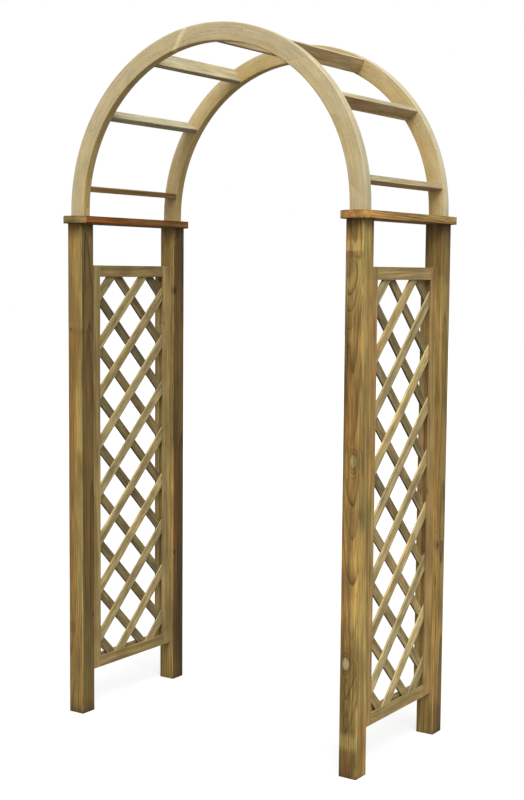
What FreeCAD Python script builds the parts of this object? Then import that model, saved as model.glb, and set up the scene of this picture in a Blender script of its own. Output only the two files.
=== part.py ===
import FreeCAD, Part
import os
import Sketcher
from math import cos, radians, sin
from FreeCAD import Rotation, Vector

os.makedirs("parts", exist_ok=True)
doc = FreeCAD.newDocument("garden_arch")

# Driving dimensions in millimetres and degrees.
# X runs across the walkway, Y along it from front to rear, Z up from the ground.
dimensions = {
    "span_across": 1246,  # post centre to post centre across the walkway
    "span_along": 580,  # front post centre to rear post centre
    "post_side": 70,
    "post_height": 1930,
    "post_ease": 3,  # rounding of the long arrises
    "cap_width": 118,
    "cap_thick": 28,
    "cap_overhang": 30,  # past the posts, front and rear
    "cap_clip": 32,  # leg of each clipped corner
    "cap_ease": 2,
    "hoop_width": 66,  # radial
    "hoop_thick": 36,
    "hoop_leg": 20,  # straight part below the springing line
    "hoop_ease": 3,
    "hoop_segments": 7,  # curved lengths between the two feet
    "hoop_foot_angle": 4,  # arc that belongs to each foot
    "joint_slant": 6,  # turn of a scarf joint between the hoop's outer and inner edges
    "rung_count": 7,
    "rung_first_angle": 8,  # lowest rung above the springing line
    "rung_width": 56,
    "rung_thick": 20,
    "panel_bottom": 160,  # clear of the ground
    "panel_below_cap": 160,  # clear of the cap's underside
    "frame_thick": 42,
    "stile_width": 56,
    "rail_height": 45,
    "groove_depth": 12,
    "groove_clear": 0.25,  # each side of the slats or tongue
    "slat_width": 38,
    "slat_thick": 8,
    "slat_set": 5,  # front slats behind the face of the frame
    "slat_end_gap": 1,  # slat end to groove bottom
    "slat_pitch_up": 196,
    "diamonds_across": 2,
    "screw_shank": 5,
    "screw_head": 10,
    "screw_head_depth": 3,
    "cap_screw_length": 80,
    "cap_screw_offset": 26,  # from the post's middle, fore and aft
    "panel_screw_length": 100,
    "panel_screw_inset": 150,  # outer screws from the ends of the stile
    "frame_screw_length": 90,
    "hole_clear": 0.1,  # radial, round screws, dowels and pins
    "hole_end_gap": 2,  # blind holes past the tip
    "foot_dowel_diameter": 16,
    "foot_dowel_in_post": 45,
    "foot_dowel_in_foot": 40,
    "rung_dowel_diameter": 8,
    "rung_dowel_length": 40,
    "rung_dowel_spacing": 28,
    "pin_diameter": 2,
}
sheet = doc.addObject("Spreadsheet::Sheet", "sizes")
for row, (alias, value) in enumerate(dimensions.items(), start=1):
    sheet.set(f"A{row}", str(value))
    sheet.setAlias(f"A{row}", alias)
doc.recompute()

# Places and sizes that follow from the driving dimensions
half_span = "(sizes.span_across / 2)"
half_along = "(sizes.span_along / 2)"
post_gap = "(sizes.span_along - sizes.post_side)"
opening_width = f"({post_gap} - 2 * sizes.stile_width)"
panel_top = "(sizes.post_height - sizes.panel_below_cap)"
panel_height = f"({panel_top} - sizes.panel_bottom)"
panel_middle = f"({panel_top} - {panel_height} / 2)"
opening_height = f"({panel_height} - 2 * sizes.rail_height)"
cap_length = "(sizes.span_along + sizes.post_side + 2 * sizes.cap_overhang)"
cap_top = "(sizes.post_height + sizes.cap_thick)"
hoop_centre = f"({cap_top} + sizes.hoop_leg)"
hoop_inner = f"({half_span} - sizes.hoop_width / 2)"
hoop_outer = f"({half_span} + sizes.hoop_width / 2)"
segment_angle = "((180 - 2 * sizes.hoop_foot_angle) / sizes.hoop_segments)"
rung_step = "((180 - 2 * sizes.rung_first_angle) / (sizes.rung_count - 1))"
rung_length = "(sizes.span_along - sizes.hoop_thick)"
slat_stack = "(2 * sizes.slat_thick)"
stack_front = "(sizes.frame_thick / 2 - sizes.slat_set)"
stack_back = f"({stack_front} - {slat_stack})"
groove_back = f"({stack_back} - sizes.groove_clear)"
groove_width = f"({slat_stack} + 2 * sizes.groove_clear)"
tongue_length = "(sizes.groove_depth - sizes.slat_end_gap)"
pitch_along = f"({opening_width} / sizes.diamonds_across)"
slat_slope = f"(sizes.slat_pitch_up / {pitch_along})"
slat_region_width = f"({opening_width} + 2 * {tongue_length})"
slat_region_height = f"({opening_height} + 2 * {tongue_length})"
screw_line = f"(({groove_back} - sizes.frame_thick / 2) / 2)"  # solid wood behind the groove
foot_dowel_length = "(sizes.foot_dowel_in_post + sizes.cap_thick + sizes.foot_dowel_in_foot)"

across = Vector(1, 0, 0)
along = Vector(0, 1, 0)
hoop_axis = Vector(0, -1, 0)  # a turn about it takes +X towards +Z
sides = {"left": "-", "right": "+"}
rows = {"front": "-", "rear": "+"}
nodes = []


def value_of(expression):
    return float(sheet.evalExpression(expression))


def bind(item, expressions):
    for path, expression in expressions.items():
        item.setExpression(path, expression)


def place(item, x="0", y="0", z="0", axis=across, angle="0"):
    # The item turns about its own origin, which then moves to x, y, z
    item.Placement = FreeCAD.Placement(Vector(0, 0, 0), Rotation(axis, 1))
    bind(item, {"Placement.Rotation.Angle": f"({angle}) * 1 deg"})
    bind(item, {"Placement.Base.x": x, "Placement.Base.y": y, "Placement.Base.z": z})
    return item


def add_box(name, lengths, corner):
    box = doc.addObject("Part::Box", name)
    bind(box, dict(zip(("Length", "Width", "Height"), lengths)))
    return place(box, *corner)


def add_cylinder(name, radius, height, bottom):
    cylinder = doc.addObject("Part::Cylinder", name)
    bind(cylinder, {"Radius": radius, "Height": height})
    return place(cylinder, z=bottom)


def combine(kind, name, base, tool):
    result = doc.addObject(kind, name)
    result.Base = base
    result.Tool = tool
    return result


def group(name, members):
    compound = doc.addObject("Part::Compound", name)
    compound.Links = members
    return compound


def copy_of(source, name, seat):
    copy = doc.addObject("App::Link", name)
    copy.LinkedObject = source
    copy.LinkTransform = True  # keeps the place of the source in its own frame
    return place(copy, **seat)


def add_piece(label, blank, seat, holes):
    # One wooden piece: a copy of its blank in place, bored for its fixings
    nodes.append(combine("Part::Cut", label, copy_of(blank, f"{label}_blank", seat), holes))


def add_fixings(label, fixing, cutter, seats):
    # One group of like fixings, and the holes they sit in
    solids = [copy_of(fixing, f"{label}_{i}", seat) for i, seat in enumerate(seats)]
    holes = [copy_of(cutter, f"{label}_hole_{i}", seat) for i, seat in enumerate(seats)]
    nodes.append(group(label, solids))
    return group(f"{label}_holes", holes)


def start_sketch(body, name, role):
    plane = next(item for item in body.Origin.OriginFeatures if item.Role == role)
    sketch = body.newObject("Sketcher::SketchObject", name)
    sketch.AttachmentSupport = [(plane, "")]
    sketch.MapMode = "FlatFace"
    return sketch


def draw_line(sketch, start, end, guide=False):
    return sketch.addGeometry(Part.LineSegment(start, end), guide)


def tie(sketch, *terms):
    return sketch.addConstraint(Sketcher.Constraint(*terms))


def tie_size(sketch, name, expression, *terms):
    sketch.renameConstraint(tie(sketch, *terms), name)
    sketch.setExpression(f"Constraints.{name}", expression)


def pad_sketch(body, sketch, name, length, side):
    pad = body.newObject("PartDesign::Pad", name)
    pad.Profile = sketch
    pad.SideType = side
    bind(pad, {"Length": length})
    doc.recompute()


def dress_edges(body, kind, name, size_name, size, wanted):
    # A fillet or chamfer on those edges of the last feature that pass the test
    base = body.Tip
    chosen = [f"Edge{i}" for i, edge in enumerate(base.Shape.Edges, start=1) if wanted(edge)]
    dress = body.newObject(kind, name)
    dress.Base = (base, chosen)
    bind(dress, {size_name: size})
    doc.recompute()


def direction(edge):
    return edge.tangentAt(edge.FirstParameter)


def is_upright(edge):
    return abs(direction(edge).z) > 0.999


def is_level(edge):
    return abs(direction(edge).z) < 0.001


def runs_with_hoop(edge):
    return isinstance(edge.Curve, Part.Circle) or abs(direction(edge).x) > 0.999


def upright_block(name, width, depth, height):
    # A body on the ground plane with its middle on the Z axis
    body = doc.addObject("PartDesign::Body", name)
    sketch = start_sketch(body, f"{name}_outline", "XY_Plane")
    right = value_of(width) / 2
    back = value_of(depth) / 2
    plan = ((-right, -back), (right, -back), (right, back), (-right, back))
    corners = [Vector(x, y, 0) for x, y in plan]
    for start, end in zip(corners, corners[1:] + corners[:1]):
        draw_line(sketch, start, end)
    for side in range(4):
        tie(sketch, "Coincident", side, 2, (side + 1) % 4, 1)
        tie(sketch, "Vertical" if side % 2 else "Horizontal", side)
    tie(sketch, "Symmetric", 0, 1, 2, 1, -1, 1)
    tie_size(sketch, "width", width, "DistanceX", 0, 1, 0, 2, 2 * right)
    tie_size(sketch, "depth", depth, "DistanceY", 1, 1, 1, 2, 2 * back)
    pad_sketch(body, sketch, f"{name}_pad", height, "One side")
    return body


def hoop_length(name, start, start_slant, end, end_slant, leg_end=None):
    # A length of hoop between two directions from the hoop's centre, 90 degrees being up.
    # A slanted end is further round at the inner edge than at the outer one.
    # At the end that leg_end names, 1 or 2, the hoop runs on straight for its leg.
    body = doc.addObject("PartDesign::Body", name)
    sketch = start_sketch(body, f"{name}_outline", "XZ_Plane")
    ends = {1: (start, start_slant), 2: (end, end_slant)}
    edges = (("inner", hoop_inner, "+"), ("outer", hoop_outer, "-"))
    tips = {}
    for arc, (edge, radius, sign) in enumerate(edges):
        turns = {point: f"({at} {sign} {slant} / 2)" for point, (at, slant) in ends.items()}
        reach = value_of(radius)
        circle = Part.Circle(Vector(0, 0, 0), Vector(0, 0, 1), reach)
        angles = {point: radians(value_of(turn)) for point, turn in turns.items()}
        sketch.addGeometry(Part.ArcOfCircle(circle, angles[1], angles[2]), False)
        for point, angle in angles.items():
            tips[arc, point] = (Vector(reach * cos(angle), reach * sin(angle), 0), turns[point])
        tie(sketch, "Coincident", arc, 3, -1, 1)
        tie_size(sketch, f"{edge}_radius", radius, "Radius", arc, reach)
    for (arc, point), (tip, turn) in tips.items():
        ray = draw_line(sketch, Vector(0, 0, 0), tip, guide=True)
        tie(sketch, "Coincident", ray, 1, -1, 1)
        tie(sketch, "Coincident", ray, 2, arc, point)
        size = radians(value_of(turn))
        tie_size(sketch, f"turn_{arc}_{point}", f"{turn} * 1 deg", "Angle", ray, size)
    for point in ends:
        inner_tip = tips[0, point][0]
        outer_tip = tips[1, point][0]
        if point != leg_end:
            joint = draw_line(sketch, inner_tip, outer_tip)
            tie(sketch, "Coincident", joint, 1, 0, point)
            tie(sketch, "Coincident", joint, 2, 1, point)
            continue
        leg = value_of("sizes.hoop_leg")
        step = Vector(leg if point == 1 else -leg, 0, 0)
        inner = draw_line(sketch, inner_tip, inner_tip + step)
        foot = draw_line(sketch, inner_tip + step, outer_tip + step)
        outer = draw_line(sketch, outer_tip + step, outer_tip)
        tie(sketch, "Coincident", inner, 1, 0, point)
        tie(sketch, "Coincident", inner, 2, foot, 1)
        tie(sketch, "Coincident", foot, 2, outer, 1)
        tie(sketch, "Coincident", outer, 2, 1, point)
        tie(sketch, "Horizontal", inner)
        tie(sketch, "Vertical", foot)
        tie(sketch, "Horizontal", outer)
        tie_size(sketch, "leg", "sizes.hoop_leg", "Distance", inner, leg)
    pad_sketch(body, sketch, f"{name}_pad", "sizes.hoop_thick", "Symmetric")
    dress_edges(body, "PartDesign::Fillet", f"{name}_ease", "Radius", "sizes.hoop_ease", runs_with_hoop)
    return body


def screw(name, length):
    # A countersunk screw pointing down, the middle of its head's face at the origin, and its hole
    made = []
    clearances = (("", "0", "0"), ("_hole", "sizes.hole_clear", "sizes.hole_end_gap"))
    for suffix, clear, past in clearances:
        radius = f"(sizes.screw_shank / 2 + {clear})"
        reach = f"({length} + {past})"
        shank = add_cylinder(f"{name}{suffix}_shank", radius, reach, f"-{reach}")
        head = doc.addObject("Part::Cone", f"{name}{suffix}_head")
        bind(head, {"Radius1": radius, "Radius2": f"sizes.screw_head / 2 + {clear}"})
        bind(head, {"Height": "sizes.screw_head_depth"})
        place(head, z="-sizes.screw_head_depth")
        made.append(combine("Part::Fuse", f"{name}{suffix}", shank, head))
    return made


def dowel(name, diameter, length, bottom):
    # A round pin along Z, and its hole, which is longer at both ends
    pin = add_cylinder(name, f"{diameter} / 2", length, bottom)
    deep = f"{length} + 2 * sizes.hole_end_gap"
    low = f"{bottom} - sizes.hole_end_gap"
    return pin, add_cylinder(f"{name}_hole", f"{diameter} / 2 + sizes.hole_clear", deep, low)


# Fixings of the caps and of the hoops' feet
corners = [
    (f"{side}{half_span}", row, f"{row}{half_along}")
    for side in sides.values()
    for row in rows.values()
]
cap_seats = [
    dict(x=x, y=f"{y} {shift} sizes.cap_screw_offset", z=cap_top)
    for x, row, y in corners
    for shift in "-+"
]
cap_screw = screw("cap_screw", "sizes.cap_screw_length")
cap_holes = add_fixings("cap_screws", *cap_screw, cap_seats)
foot_low = "(sizes.post_height - sizes.foot_dowel_in_post)"
foot_dowel = dowel("foot_dowel", "sizes.foot_dowel_diameter", foot_dowel_length, foot_low)
foot_seats = [dict(x=x, y=y) for x, row, y in corners]
foot_holes = add_fixings("hoop_foot_dowels", *foot_dowel, foot_seats)

# Fixings of the panels: stile to post, and stile to rail
inward = {"-": "-90", "+": "90"}  # turn about X that points a screw at the front or the rear post
panel_heights = (
    "sizes.panel_bottom + sizes.panel_screw_inset",
    panel_middle,
    f"{panel_top} - sizes.panel_screw_inset",
)
panel_seats = [
    dict(x=f"{x} + {screw_line}", y=f"{row}{opening_width} / 2", z=z, angle=inward[row])
    for x, row, y in corners
    for z in panel_heights
]
panel_screw = screw("panel_screw", "sizes.panel_screw_length")
panel_holes = add_fixings("panel_screws", *panel_screw, panel_seats)
outward = {"-": "90", "+": "-90"}
rail_heights = (
    "sizes.panel_bottom + sizes.rail_height / 2",
    f"{panel_top} - sizes.rail_height / 2",
)
frame_seats = [
    dict(x=f"{x} + {screw_line}", y=f"{row}{post_gap} / 2", z=z, angle=outward[row])
    for x, row, y in corners
    for z in rail_heights
]
frame_screw = screw("frame_screw", "sizes.frame_screw_length")
frame_holes = add_fixings("frame_corner_screws", *frame_screw, frame_seats)

# Dowels in the ends of the rungs, two at each end, on the rung's own radius
rung_turns = [f"(sizes.rung_first_angle + {i} * {rung_step})" for i in range(int(sheet.rung_count))]
rung_dowel_low = "-sizes.rung_dowel_length / 2"
rung_dowel = dowel(
    "rung_dowel", "sizes.rung_dowel_diameter", "sizes.rung_dowel_length", rung_dowel_low
)
rung_seats = []
for turn in rung_turns:
    for row in rows.values():
        for shift in "-+":
            radius = f"({half_span} {shift} sizes.rung_dowel_spacing / 2)"
            x = f"{radius} * cos({turn} * 1 deg)"
            z = f"{hoop_centre} + {radius} * sin({turn} * 1 deg)"
            rung_seats.append(dict(x=x, y=f"{row}{rung_length} / 2", z=z, angle="90"))
rung_holes = add_fixings("rung_dowels", *rung_dowel, rung_seats)

# Posts
post = upright_block("post", "sizes.post_side", "sizes.post_side", "sizes.post_height")
dress_edges(post, "PartDesign::Fillet", "post_arris", "Radius", "sizes.post_ease", is_upright)
post_holes = group("post_holes", [cap_holes, foot_holes, panel_holes])
for row, row_sign in rows.items():
    for side, side_sign in sides.items():
        seat = dict(x=f"{side_sign}{half_span}", y=f"{row_sign}{half_along}")
        add_piece(f"post_{row}_{side}", post, seat, post_holes)

# Caps
cap = upright_block("cap", "sizes.cap_width", cap_length, "sizes.cap_thick")
dress_edges(cap, "PartDesign::Chamfer", "cap_corners", "Size", "sizes.cap_clip", is_upright)
dress_edges(cap, "PartDesign::Fillet", "cap_arris", "Radius", "sizes.cap_ease", is_level)
cap_bores = group("cap_bores", [cap_holes, foot_holes])
for side, sign in sides.items():
    add_piece(f"cap_{side}", cap, dict(x=f"{sign}{half_span}", z="sizes.post_height"), cap_bores)

# Stiles: grooved along the edge that faces the lattice, the rear one turned end for end
stile_size = ("sizes.frame_thick", "sizes.stile_width", panel_height)
stile_bar = add_box("stile_bar", stile_size, ("-sizes.frame_thick / 2",))
stile_groove_size = (groove_width, "sizes.groove_depth", panel_height)
stile_groove_corner = (groove_back, "sizes.stile_width - sizes.groove_depth")
stile_groove = add_box("stile_groove", stile_groove_size, stile_groove_corner)
stile = combine("Part::Cut", "stile", stile_bar, stile_groove)
stile_holes = group("stile_holes", [panel_holes, frame_holes])
for side, sign in sides.items():
    x = f"{sign}{half_span}"
    front_seat = dict(x=x, y=f"-{post_gap} / 2", z="sizes.panel_bottom")
    rear_seat = dict(x=x, y=f"{post_gap} / 2", z=panel_top, angle="180")
    add_piece(f"stile_{side}_front", stile, front_seat, stile_holes)
    add_piece(f"stile_{side}_rear", stile, rear_seat, stile_holes)

# Rails: a tongue at each end for the stile's groove, and a groove for the slats
rail_size = ("sizes.frame_thick", opening_width, "sizes.rail_height")
rail_bar = add_box("rail_bar", rail_size, ("-sizes.frame_thick / 2", f"-{opening_width} / 2"))
rail_tongue_size = (slat_stack, slat_region_width, "sizes.rail_height")
rail_tongue = add_box("rail_tongue", rail_tongue_size, (stack_back, f"-{slat_region_width} / 2"))
rail_solid = combine("Part::Fuse", "rail_solid", rail_bar, rail_tongue)
rail_groove_size = (groove_width, slat_region_width, "sizes.groove_depth")
rail_groove_bottom = "sizes.rail_height - sizes.groove_depth"
rail_groove_corner = (groove_back, f"-{slat_region_width} / 2", rail_groove_bottom)
rail_groove = add_box("rail_groove", rail_groove_size, rail_groove_corner)
rail = combine("Part::Cut", "rail", rail_solid, rail_groove)
for side, sign in sides.items():
    x = f"{sign}{half_span}"
    add_piece(f"rail_{side}_bottom", rail, dict(x=x, z="sizes.panel_bottom"), frame_holes)
    add_piece(f"rail_{side}_top", rail, dict(x=x, z=panel_top, angle="180"), frame_holes)

# Slats: two layers that cross on the panel's middle line, half a pitch either side of mid height,
# cut off square with the bottom of the groove. Heights here are from the middle of the panel.
slat_long = f"(2 * {slat_region_width})"
slat_rise = f"({slat_region_height} + {slat_slope} * {slat_region_width} + sizes.slat_width)"
slats_each_way = int(value_of(f"{slat_rise} / 2 / sizes.slat_pitch_up + 0.5"))
crossings = [f"({i} + 0.5) * sizes.slat_pitch_up" for i in range(-slats_each_way, slats_each_way)]


def slat_layer(name, turn, back):
    lean = f"atan({turn}{slat_slope})"
    slats = []
    for i, height in enumerate(crossings):
        slat = doc.addObject("Part::Box", f"{name}_{i}")
        bind(slat, {"Length": "sizes.slat_thick", "Width": slat_long, "Height": "sizes.slat_width"})
        y = f"-{slat_long} / 2 * cos({lean}) + sizes.slat_width / 2 * sin({lean})"
        z = f"{height} - {slat_long} / 2 * sin({lean}) - sizes.slat_width / 2 * cos({lean})"
        slats.append(place(slat, back, y, z, angle=f"{lean} / 1 deg"))
    region_size = ("sizes.slat_thick", slat_region_width, slat_region_height)
    region_corner = (back, f"-{slat_region_width} / 2", f"-{slat_region_height} / 2")
    region = add_box(f"{name}_region", region_size, region_corner)
    return combine("Part::Common", name, group(f"{name}_lengths", slats), region)


rising = slat_layer("rising_slats", "+", f"({stack_front} - sizes.slat_thick)")
falling = slat_layer("falling_slats", "-", stack_back)
slat_pin = dowel("slat_pin", "sizes.pin_diameter", slat_stack, "0")
pin_spots = []
for i in range(-2 * slats_each_way, 2 * slats_each_way + 1):
    height = f"({i} * sizes.slat_pitch_up / 2)"
    if abs(value_of(height)) + value_of("sizes.slat_width / 2") < value_of(opening_height) / 2:
        steps = range(-int(sheet.diamonds_across) + 1, int(sheet.diamonds_across))
        pin_spots += [(f"{k} * {pitch_along} / 2", height) for k in steps if (i + k) % 2]
for side, sign in sides.items():
    x = f"{sign}{half_span}"
    pin_seats = [
        dict(x=f"{x} + {stack_back}", y=y, z=f"{panel_middle} + {height}", axis=along, angle="90")
        for y, height in pin_spots
    ]
    pin_holes = add_fixings(f"lattice_pins_{side}", *slat_pin, pin_seats)
    add_piece(f"lattice_{side}_rising_slats", rising, dict(x=x, z=panel_middle), pin_holes)
    add_piece(f"lattice_{side}_falling_slats", falling, dict(x=x, z=panel_middle), pin_holes)

# Hoops: equal curved lengths, scarfed end to end, between two feet
slant = "sizes.joint_slant"
arc_start = f"(90 - {segment_angle} / 2)"
arc_end = f"(90 + {segment_angle} / 2)"
hoop_arc = hoop_length("hoop_arc", arc_start, slant, arc_end, slant)
foot_top_right = "(90 + sizes.hoop_foot_angle)"
foot_top_left = "(90 - sizes.hoop_foot_angle)"
foot_right = hoop_length("foot_right", "90", "0", foot_top_right, slant, leg_end=1)
foot_left = hoop_length("foot_left", foot_top_left, slant, "90", "0", leg_end=2)
hoop_holes = group("hoop_holes", [foot_holes, rung_holes])
for row, sign in rows.items():
    seat = dict(y=f"{sign}{half_along}", z=hoop_centre, axis=hoop_axis)
    add_piece(f"hoop_{row}_foot_right", foot_right, dict(seat, angle="-90"), hoop_holes)
    add_piece(f"hoop_{row}_foot_left", foot_left, dict(seat, angle="90"), hoop_holes)
    for i in range(int(sheet.hoop_segments)):
        turn = f"sizes.hoop_foot_angle + ({i} + 0.5) * {segment_angle} - 90"
        add_piece(f"hoop_{row}_arc_{i + 1}", hoop_arc, dict(seat, angle=turn), hoop_holes)

# Rungs: boards on edge, their width along the hoop's radius
rung_size = ("sizes.rung_width", rung_length, "sizes.rung_thick")
rung_inner = f"{half_span} - sizes.rung_width / 2"
rung_corner = (rung_inner, f"-{rung_length} / 2", "-sizes.rung_thick / 2")
rung = add_box("rung", rung_size, rung_corner)
for i, turn in enumerate(rung_turns, start=1):
    add_piece(f"rung_{i}", rung, dict(z=hoop_centre, axis=hoop_axis, angle=turn), rung_holes)

doc.recompute()
failed = [item.Name for item in doc.Objects if {"Invalid", "Error"} & set(item.State)]
failed += [node.Label for node in nodes if node.Shape.isNull() or not node.Shape.isValid()]
if failed:
    raise RuntimeError(f"not built: {failed}")
for node in nodes:
    node.Shape.exportStep(f"parts/{node.Label}.step")
    print(node.Label, len(node.Shape.Solids), "solids", round(node.Shape.Volume / 1000), "cm3")
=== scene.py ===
import bmesh
import bpy
import random
from functools import partial
from itertools import count
from math import atan2, cos, hypot, pi, radians, sin
from mathutils import Matrix, Vector


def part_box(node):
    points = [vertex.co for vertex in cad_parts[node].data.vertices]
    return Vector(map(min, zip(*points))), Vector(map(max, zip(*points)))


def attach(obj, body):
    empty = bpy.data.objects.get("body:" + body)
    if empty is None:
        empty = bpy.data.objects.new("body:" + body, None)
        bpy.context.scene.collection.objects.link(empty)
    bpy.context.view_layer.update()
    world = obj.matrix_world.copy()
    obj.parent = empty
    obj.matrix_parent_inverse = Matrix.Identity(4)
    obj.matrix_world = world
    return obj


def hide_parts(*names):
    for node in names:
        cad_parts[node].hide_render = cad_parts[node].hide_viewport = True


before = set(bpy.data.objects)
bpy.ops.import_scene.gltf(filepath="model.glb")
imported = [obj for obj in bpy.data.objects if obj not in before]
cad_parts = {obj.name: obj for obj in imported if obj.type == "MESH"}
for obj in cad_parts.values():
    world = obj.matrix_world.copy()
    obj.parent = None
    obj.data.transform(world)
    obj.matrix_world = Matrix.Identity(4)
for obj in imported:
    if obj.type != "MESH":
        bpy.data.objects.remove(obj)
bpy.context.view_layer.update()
scene = bpy.context.scene
dice = random.Random(11)  # fixed seed
xAxis, yAxis, zAxis = Matrix.Identity(3)
ways = {"front": -yAxis, "back": yAxis, "left": -xAxis, "right": xAxis, "top": zAxis, "under": -zAxis}
sides = ("left", "right")
corners = ("front_left", "front_right", "rear_left", "rear_right")
sameWay = 0.99  # two directions count as one when the cosine between them is above this
pieceStep = 3.0  # metres of log between one piece and the next, so no two share their grain
pieceNumbers = count(1)
print("frame loaded,", len(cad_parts), "nodes")

# kinds of node that come up often, some with their operation
splitVector = "ShaderNodeSeparateXYZ"
joinVector = "ShaderNodeCombineXYZ"
remap = "MapRange"
noise = "TexNoise"
scalarMath = "ShaderNodeMath"
vectorMath = "ShaderNodeVectorMath"
times, timesPlus = ((scalarMath, word) for word in ("MULTIPLY", "MULTIPLY_ADD"))
plus, minus = ((scalarMath, word) for word in ("ADD", "SUBTRACT"))
vectorTimes, vectorPlus, vectorScaled = ((vectorMath, word) for word in ("MULTIPLY", "ADD", "SCALE"))


def hexColour(code):
    shares = [int(code[i:i + 2], 16) / 255 for i in (1, 3, 5)]
    linear = [share / 12.92 if share <= 0.04045 else ((share + 0.055) / 1.055) ** 2.4 for share in shares]
    return (*linear, 1.0)


def addNode(tree, kind, inputs=(), output=0, **settings):
    # inputs, in order or by number or name: plain values, sockets that feed them or lists of such sockets;
    # gives back the output with that number or name, or all of them for None
    if isinstance(kind, tuple):
        kind, settings["operation"] = kind
    if "Node" not in kind:
        kind = tree.bl_idname.removesuffix("Tree") + kind  # GeometryNode or ShaderNode before it
    node = tree.nodes.new(kind)
    for label, value in settings.items():
        setattr(node, label, value)
    for label, value in inputs.items() if isinstance(inputs, dict) else enumerate(inputs):
        for source in value if isinstance(value, list) else [value]:
            if isinstance(source, bpy.types.NodeSocket):
                tree.links.new(source, node.inputs[label])
            else:
                node.inputs[label].default_value = source
    return node.outputs[output] if node.outputs and output is not None else node.outputs


def clearTree(owner):
    owner.use_nodes = True
    owner.node_tree.nodes.clear()
    return partial(addNode, owner.node_tree)


# Timber: each piece carries "grain", a point's place in the log it was sawn from, with x and y from the pith
# and z along it, and "stain", its own lightness, warmth and greenness
def grainSpace(origin, along, across, pith, tilt):
    logStart = next(pieceNumbers) * pieceStep
    up = along.cross(across)

    def place(spot):
        away = spot - origin
        run = away.dot(along)
        x, y = (away.dot(axis) - pith[i] + tilt[i] * run for i, axis in enumerate((across, up)))
        return (x, y, run + logStart)

    return place


def writeGrain(mesh, place):
    grain = mesh.attributes.new("grain", "FLOAT_VECTOR", "POINT")
    for i, vertex in enumerate(mesh.vertices):
        grain.data[i].vector = place(vertex.co)


def toneOf(parts):
    # lightness, warmth and greenness, of which the last ones may be left out
    return Vector((*parts, 0, 0)[:3])


def levelTone(levels, z):
    # what is added to the stain at that height: straight between the levels, and above the last as at it
    for (lowZ, *lowTone), (highZ, *highTone) in zip(levels, levels[1:]):
        if z <= highZ:
            return toneOf(lowTone).lerp(toneOf(highTone), (z - lowZ) / (highZ - lowZ))
    return toneOf(levels[-1][1:]) if levels else Vector()


def stainFaces(mesh, stains, low, high):
    # each way that a face looks may have its own stain, or a list of two: at its low edge and its high one
    stain = mesh.attributes.new("stain", "FLOAT_VECTOR", "CORNER")
    for face in mesh.polygons:
        way = max(ways, key=lambda label: round(face.normal.dot(ways[label]), 3))
        onArris = face.normal.dot(ways[way]) < sameWay
        tones = stains.get(way, stains["rest"])
        first, last = (toneOf(tone) for tone in (tones if isinstance(tones, list) else (tones, tones)))
        levels = stains.get(way + "Levels", stains.get("levels", ()))
        axis = 1 if way in sides else 0
        for i in face.loop_indices:
            spot = mesh.vertices[mesh.loops[i].vertex_index].co
            share = (spot[axis] - low[axis]) / (high[axis] - low[axis])
            tone = first.lerp(last, share) + levelTone(levels, spot.z)
            # the eased arrises: pale streaks with a painted highlight
            if onArris:
                tone += levelTone(stains.get("arris", ()), spot.z)
            fromArris = high.x - spot.x + spot.y - low.y  # the front right one
            if way + "Stripe" in stains and fromArris < stains["stripeReach"]:
                fade = min(1, 2 - 2 * fromArris / stains["stripeReach"])
                tone += levelTone(stains[way + "Stripe"], spot.z) * fade
            stain.data[i].vector = tone


# what all the looks share; a pair is the range over which an effect comes or goes
limits = {
    "yearEnd": (0.93, 1.0),  # of a year
    "patch": (0.42, 0.68), "streak": (0.3, 0.7), "dash": (0.62, 0.72),  # of a noise
    "swirlFrom": 0.5, "ringsBack": (1.4, 3.0), "linesFrom": (0.8, 1.1),  # in radii of a knot
    "core": (0.45, 1.05), "rim": (0.05, 0.3),  # the same
    "line": (0.2, 1.0),  # of the wave that draws the lines round a knot
    "heartEdge": 0.012, "relief": 0.0008,  # metres
    "fibreRelief": 0.6, "wanderDetail": 2.0, "streakDetail": 3.0,
}


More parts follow.
